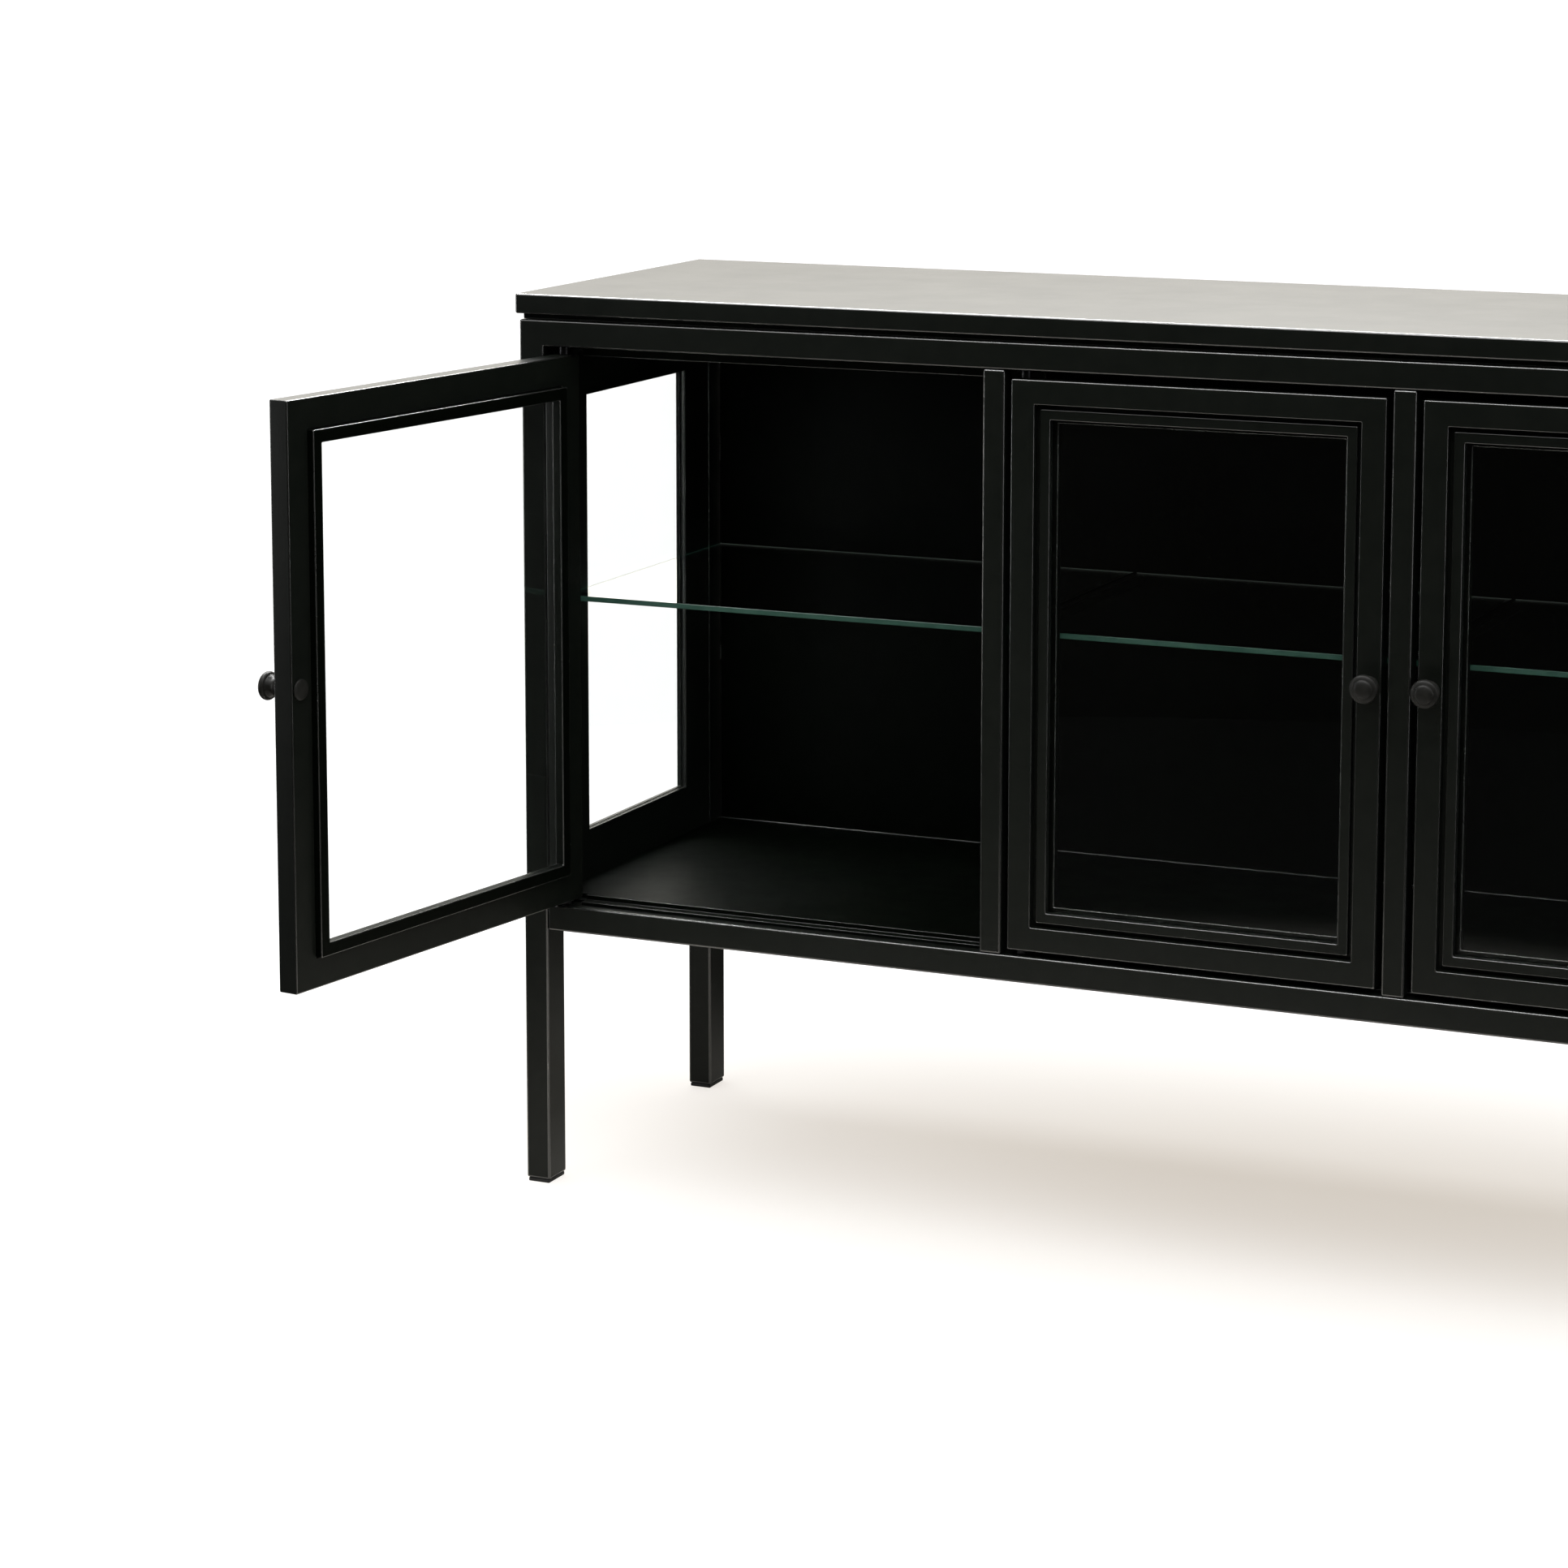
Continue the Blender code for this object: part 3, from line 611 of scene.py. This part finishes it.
def add_side(side):
    space = side_space(side)
    low, high = local_box(f"side_panel_{side}", space)
    thickness = high.y - low.y
    inner_lip = thickness - SIDE_INNER_LIP
    glass_low, glass_high = local_box(f"side_glass_{side}", space)
    panel = (
        (0, 0, BEAD_RADIUS),
        (SIDE_REBATE, 0, BEAD_RADIUS),
        (SIDE_REBATE, inner_lip, 0),
        (SIDE_BORDER, inner_lip, BEAD_RADIUS),
        (SIDE_BORDER, thickness, BEAD_RADIUS),
        (0, thickness, BEAD_RADIUS),
    )
    inset = SIDE_REBATE + GAP
    rings = (
        (f"side_panel_{side}", "frame", panel, COAT, "powder_coat"),
        (
            f"side_bead_{side}",
            "bead",
            rectangle_section(inset, SIDE_BORDER, 0, glass_low.y - GAP, BEAD_RADIUS),
            COAT,
            "powder_coat",
        ),
        (
            f"side_gasket_{side}",
            "seal",
            rectangle_section(inset, SIDE_BORDER, glass_high.y + GAP, inner_lip - GAP, BEAD_RADIUS),
            COAT,
            "gasket",
        ),
    )
    for node, kind, section, material, slot in rings:
        mesh = mesh_from(ring_shape(low, high, section, BEAD_RADIUS), f"{node}_mesh")
        add_piece(f"{node}_{kind}", mesh, material, CARCASS, [node], space)
    add_pane(f"side_glass_{side}", glass_low, glass_high, space, CARCASS)


def add_pane(node, low, high, space, body):
    """A glass pane with arrissed edges."""
    mesh = mesh_from(rounded_box(low, high, GLASS_ARRIS, 1), f"{node}_mesh")
    for face in mesh.polygons:
        face.material_index = FACE
    return add_piece(f"{node}_pane", mesh, GLASS, body, [node], space, PANE_SHADING_ANGLE)


def add_shelf(door):
    """A shelf with green front and outer edges and a rear one made pale by a painted glow. Where two shelves
    meet behind a mullion, their ends are blackened as painted shade."""
    low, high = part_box(f"shelf_{door}")
    mesh = add_pane(f"shelf_{door}", low, high, Matrix.Identity(4), CARCASS).data
    mesh.materials.append(GLASS_FAR_EDGE_PAINTED_GLOW)
    mesh.materials.append(PANEL_PAINTED_SHADE)
    rim = 2 * GLASS_ARRIS
    for face in mesh.polygons:
        left = face.center.x < low.x + rim
        right = face.center.x > high.x - rim
        meets_another = (left and door != DOORS[0]) or (right and door != DOORS[-1])
        if face.center.y < low.y + rim:
            face.material_index = EDGE
        elif face.center.y > high.y - rim:
            # Rear edge: pale from a painted glow
            face.material_index = PAINTED_GLOW_EDGE
        elif meets_another:
            # Ends that meet another shelf: blackened, painted shade behind the mullion
            face.material_index = PAINTED_SHADE_EDGE
        elif left or right:
            face.material_index = EDGE


def add_shelves_and_pins():
    for door in DOORS:
        add_shelf(door)
    for side in SIDES:
        for end in ("front", "rear"):
            node = f"shelf_pin_{side}_{end}"
            softened_node(node, PEG_RADIUS, STEEL, f"{node}_peg", PIN_STEPS)
    for door in DOORS:
        for end in ("bottom", "top"):
            node = f"pivot_pin_{door}_{end}"
            softened_node(node, PIVOT_RADIUS, STEEL, f"{node}_turned", PIN_STEPS)


# -------------------------------------------------------------------- doors


def door_space(door):
    """The door's own space: closed in it, its origin on the pivot axis at the door's bottom edge."""
    joint = next(j for j in frame["joints"] if j["name"] == f"{door}_door_hinge")
    turn = -joint["axis"][2] * joint["range_deg"][0]
    return Matrix.Translation(joint["pos_m"]) @ Matrix.Rotation(math.radians(turn), 4, "Z")


def knob_profile():
    """From the door's face outwards: flared base, waist, thick rounded rim and shallow domed face."""
    waist = []
    for step in range(KNOB_WAIST_STEPS + 1):
        t = step / KNOB_WAIST_STEPS
        radius = KNOB_WAIST_RADIUS + KNOB_WAIST_FLARE * (2 * t - 1) ** 2
        waist.append((KNOB_WAIST_START + KNOB_WAIST_LENGTH * t, radius))
    rim = []
    for degrees in range(-80, 81, 20):
        turn = math.radians(degrees)
        along = KNOB_RIM_CENTRE + KNOB_RIM_ROUND * math.sin(turn)
        rim.append((along, KNOB_RIM_RADIUS + KNOB_RIM_ROUND * math.cos(turn)))
    dome = []
    for turn in (1.5, 1.25, 1.0, 0.75, 0.5, 0.25):
        along = KNOB_DOME_START + KNOB_DOME_HEIGHT * math.cos(turn)
        dome.append((along, KNOB_DOME_RADIUS * math.sin(turn)))
    tip = (KNOB_DOME_START + KNOB_DOME_HEIGHT, 0)
    return [*KNOB_BASE, *waist, *rim, *KNOB_DISH, *dome, tip]


def cap_profile():
    """From the door's inner face outwards: a low dome with a stepped edge."""
    edge = [(0, 0), (0, CAP_RADIUS - CAP_EASE), (CAP_EASE, CAP_RADIUS), (CAP_EDGE, CAP_RADIUS)]
    dome = []
    for turn in (0.15, 0.35, 0.6, 0.9, 1.2):
        dome.append((CAP_EDGE + CAP_DOME_HEIGHT * math.sin(turn), CAP_RADIUS * math.cos(turn)))
    return [*edge, *dome, (CAP_EDGE + CAP_DOME_HEIGHT, 0)]


def add_door(door):
    body = f"{door}_door"
    space = door_space(door)
    low, high = local_box(f"door_frame_{door}", space)
    thickness = high.y - low.y
    bead_low, bead_high = local_box(f"door_bead_{door}", space)
    fine = BEAD_RADIUS
    section = (
        (0, 0, DOOR_EDGE_RADIUS),
        (DOOR_FACE, 0, fine),
        (DOOR_FACE, DOOR_GROOVE_DEPTH, 0),
        (DOOR_GROOVE_END, DOOR_GROOVE_DEPTH, 0),
        (DOOR_GROOVE_END, DOOR_LIP_SETBACK, fine),
        (DOOR_LIP_END, DOOR_LIP_SETBACK, fine),
        (DOOR_LIP_END, DOOR_LIP_BACK, fine),
        (DOOR_REBATE, DOOR_LIP_BACK, 0),
        (DOOR_REBATE, thickness, fine),
        (0, thickness, DOOR_EDGE_RADIUS),
    )
    mesh = mesh_from(ring_shape(low, high, section, DOOR_CORNER_RADIUS), f"door_{door}_mesh")
    add_piece(f"door_frame_{door}_coated", mesh, COAT, body, [f"door_frame_{door}"], space)
    bead = rectangle_section(DOOR_REBATE + GAP, DOOR_BEAD_END, bead_low.y - low.y, bead_high.y - low.y, fine)
    mesh = mesh_from(ring_shape(low, high, bead, DOOR_CORNER_RADIUS), f"bead_{door}_mesh")
    # The bead's darker coat is painted shade on the recessed bead
    add_piece(f"door_bead_{door}_coated", mesh, PANEL_PAINTED_SHADE, body, [f"door_bead_{door}"], space)
    glass_low, glass_high = local_box(f"door_glass_{door}", space)
    add_pane(f"door_glass_{door}", glass_low, glass_high, space, body)
    add_knob(door, body, space, low.y, high.y)


def add_knob(door, body, space, front, back):
    """The knob on the door's face and the cap of its screw on the inner face."""
    knob_low, knob_high = local_box(f"knob_{door}", space)
    middle = (knob_low + knob_high) / 2
    on_face = Matrix.Translation((middle.x, front, middle.z))
    mesh = mesh_from(turned_shape(knob_profile(), KNOB_SIDES), f"knob_{door}_mesh")
    add_piece(
        f"knob_{door}_turned",
        mesh,
        KNOB,
        body,
        [f"knob_{door}"],
        space @ on_face,
        TURNED_SHADING_ANGLE,
    )
    behind = Matrix.Translation((middle.x, back + 2 * GAP, middle.z)) @ Matrix.Rotation(math.pi, 4, "Z")
    mesh = mesh_from(turned_shape(cap_profile(), CAP_SIDES), f"cap_{door}_mesh")
    add_piece(
        f"knob_screw_{door}_cap",
        mesh,
        KNOB,
        body,
        [f"knob_screw_{door}"],
        space @ behind,
        TURNED_SHADING_ANGLE,
    )


# ------------------------------------------------------------------- studio


def seen_directly(tree, world=False):
    """1 for what the camera sees, also through glass; 0 for what only lights or is reflected in the object.
    A ray that ends in the world counts as one step deeper."""
    paths = tree.nodes.new("ShaderNodeLightPath")
    turned = tree.nodes.new("ShaderNodeMath")
    turned.operation = "SUBTRACT"
    tree.links.new(paths.outputs["Ray Depth"], turned.inputs[0])
    tree.links.new(paths.outputs["Transmission Depth"], turned.inputs[1])
    seen = tree.nodes.new("ShaderNodeMath")
    seen.operation = "LESS_THAN"
    seen.inputs[1].default_value = 1.5 if world else 0.5
    tree.links.new(turned.outputs["Value"], seen.inputs[0])
    if not world:
        return seen.outputs["Value"]
    looking, both = (tree.nodes.new("ShaderNodeMath") for _ in range(2))
    looking.operation = "MAXIMUM"
    tree.links.new(paths.outputs["Is Camera Ray"], looking.inputs[0])
    tree.links.new(paths.outputs["Is Transmission Ray"], looking.inputs[1])
    both.operation = "MULTIPLY"
    tree.links.new(seen.outputs["Value"], both.inputs[0])
    tree.links.new(looking.outputs["Value"], both.inputs[1])
    return both.outputs["Value"]


def fade(tree, value, span):
    """0 below the span, 1 above it, eased between."""
    node = tree.nodes.new("ShaderNodeMapRange")
    node.interpolation_type = "SMOOTHSTEP"
    node.inputs["From Min"].default_value, node.inputs["From Max"].default_value = span
    tree.links.new(value, node.inputs["Value"])
    return node.outputs["Result"]


def floor_finish():
    """Looked at, a pale floor that takes a soft shadow, lifted and warmed by the floor's own painted glow,
    and that glows white further away, outside an ellipse drawn round the shadow, which paints the shadow's
    outline.
    Reflections and bounced light get a pale floor near the cabinet and a dark one further out."""
    shader = Shader("studio_floor").set(Specular_IOR_Level=0.0, Roughness=0.9)
    tree = shader.tree
    grain = shader.noise(3, 4)
    shader.feed(shader.ramp(grain, (0.40, 0.41, 0.42, 1), (0.42, 0.43, 0.44, 1)), "Base Color")
    # Painted glow: the floor lights itself, which sets the lightness and warm tone of its shadow
    shader.set(Emission_Color=FLOOR_PAINTED_GLOW, Emission_Strength=1.0)
    white = tree.nodes.new("ShaderNodeEmission")
    white.inputs["Strength"].default_value = FLOOR_WHITE_STRENGTH
    bounce, dark = (tree.nodes.new("ShaderNodeBsdfDiffuse") for _ in range(2))
    bounce.inputs["Color"].default_value = FLOOR_BOUNCE
    dark.inputs["Color"].default_value = FLOOR_DARK
    # Painted shadow outline: the floor fades to glowing white by its distance from an ellipse set round the
    # shadow
    shadow = tree.nodes.new("ShaderNodeMapping")
    shadow.inputs["Scale"].default_value = PAINTED_SHADOW_SCALE
    shadow.inputs["Location"].default_value = PAINTED_SHADOW_SHIFT
    tree.links.new(shader.place, shadow.inputs["Vector"])
    away = tree.nodes.new("ShaderNodeVectorMath")
    away.operation = "LENGTH"
    tree.links.new(shadow.outputs["Vector"], away.inputs[0])
    ahead = tree.nodes.new("ShaderNodeVectorMath")
    ahead.operation = "DISTANCE"
    ahead.inputs[1].default_value = BOUNCE_CENTRE
    tree.links.new(shader.place, ahead.inputs[0])
    painted_shadow_edge = fade(tree, away.outputs["Value"], PAINTED_SHADOW_FADE)
    shown = mix_shaders(tree, painted_shadow_edge, shader.principled.outputs["BSDF"], white.outputs["Emission"])
    darker = fade(tree, ahead.outputs["Value"], BOUNCE_FADE)
    given = mix_shaders(tree, darker, bounce.outputs["BSDF"], dark.outputs["BSDF"])
    both = mix_shaders(tree, seen_directly(tree), given, shown)
    tree.links.new(both, shader.output.inputs["Surface"])
    return shader.material


def add_floor():
    """A pale floor, large enough for the shadow."""
    shape = bmesh.new()
    bmesh.ops.create_circle(shape, cap_ends=True, segments=96, radius=FLOOR_RADIUS)
    floor = bpy.data.objects.new("studio_floor", mesh_from(shape, "studio_floor"))
    floor.location = ((cad_low.x + cad_high.x) / 2, 0, cad_low.z)
    bpy.context.scene.collection.objects.link(floor)
    floor.data.materials.append(floor_finish())


def add_area(name, place, aim, width, height, power, soft=False):
    """A soft light, or a strip that is only there for the highlights along the edges."""
    light = bpy.data.lights.new(name, "AREA")
    light.shape = "RECTANGLE"
    light.size = width
    light.size_y = height
    light.energy = power
    lamp = bpy.data.objects.new(name, light)
    lamp.location = place
    lamp.rotation_euler = (Vector(aim) - Vector(place)).to_track_quat("-Z", "Y").to_euler()
    lamp.visible_camera = False
    lamp.visible_diffuse = soft
    bpy.context.scene.collection.objects.link(lamp)


def add_world():
    """White behind all that is looked at or through. Reflections get a bright wall behind the cabinet and a
    dark room elsewhere."""
    world = bpy.data.worlds.new("studio")
    bpy.context.scene.world = world
    world.use_nodes = True
    tree = world.node_tree
    direction = tree.nodes.new("ShaderNodeTexCoord").outputs["Generated"]
    facing = tree.nodes.new("ShaderNodeVectorMath")
    facing.operation = "DOT_PRODUCT"
    facing.inputs[1].default_value = WALL_DIRECTION.normalized()
    tree.links.new(direction, facing.inputs[0])
    wall = tree.nodes.new("ShaderNodeMapRange")
    wall.interpolation_type = "SMOOTHSTEP"
    wall.inputs["From Min"].default_value = math.cos(math.radians(WALL_HALF_ANGLES[1]))
    wall.inputs["From Max"].default_value = math.cos(math.radians(WALL_HALF_ANGLES[0]))
    wall.inputs["To Min"].default_value = ROOM_STRENGTH
    wall.inputs["To Max"].default_value = WALL_STRENGTH
    tree.links.new(facing.outputs["Value"], wall.inputs["Value"])
    room = tree.nodes["Background"]
    room.inputs["Color"].default_value = WALL_COLOUR
    tree.links.new(wall.outputs["Result"], room.inputs["Strength"])
    backdrop = tree.nodes.new("ShaderNodeBackground")
    backdrop.inputs["Color"].default_value = (1.0, 1.0, 1.0, 1)
    backdrop.inputs["Strength"].default_value = BACKDROP_STRENGTH
    seen = seen_directly(tree, world=True)
    both = mix_shaders(tree, seen, room.outputs["Background"], backdrop.outputs["Background"])
    tree.links.new(both, tree.nodes["World Output"].inputs["Surface"])


def add_studio():
    add_floor()
    add_world()
    middle = (cad_low + cad_high) / 2
    add_area("overhead_softbox", (middle.x, -0.5, 2.6), (middle.x, 0.0, 0), 5.0, 4.0, 150, True)
    add_area("edge_strip", (middle.x - 0.3, -0.9, 2.4), (middle.x, 0, 0.7), 2.6, 0.25, 44)
    add_area("rear_strip", (middle.x - 1.2, 1.3, 2.9), (middle.x, 0, 0.87), 3.0, 0.4, 260)
    add_area("left_strip", (-2.9, -1.7, 0.9), (middle.x, 0, 0.55), 0.5, 1.8, 30)
    add_area("right_strip", (3.6, -0.6, 0.9), (middle.x, 0, 0.55), 0.5, 1.8, 14)
    scene = bpy.context.scene
    scene.view_settings.view_transform = "Standard"
    scene.view_settings.look = "None"


def add_camera():
    camera = bpy.data.cameras.new("photo_camera")
    camera.lens = CAMERA_LENS
    camera.sensor_width = 36
    camera.shift_y = -CAMERA_SHIFT_DOWN
    camera.clip_end = 60
    holder = bpy.data.objects.new("photo_camera", camera)
    holder.location = CAMERA_PLACE
    holder.rotation_euler = (math.radians(90 - CAMERA_FALL), 0, math.radians(CAMERA_AZIMUTH))
    bpy.context.scene.collection.objects.link(holder)
    bpy.context.scene.camera = holder


add_carcass()
for side in SIDES:
    add_side(side)
add_shelves_and_pins()
for door in DOORS:
    add_door(door)
add_studio()
add_camera()
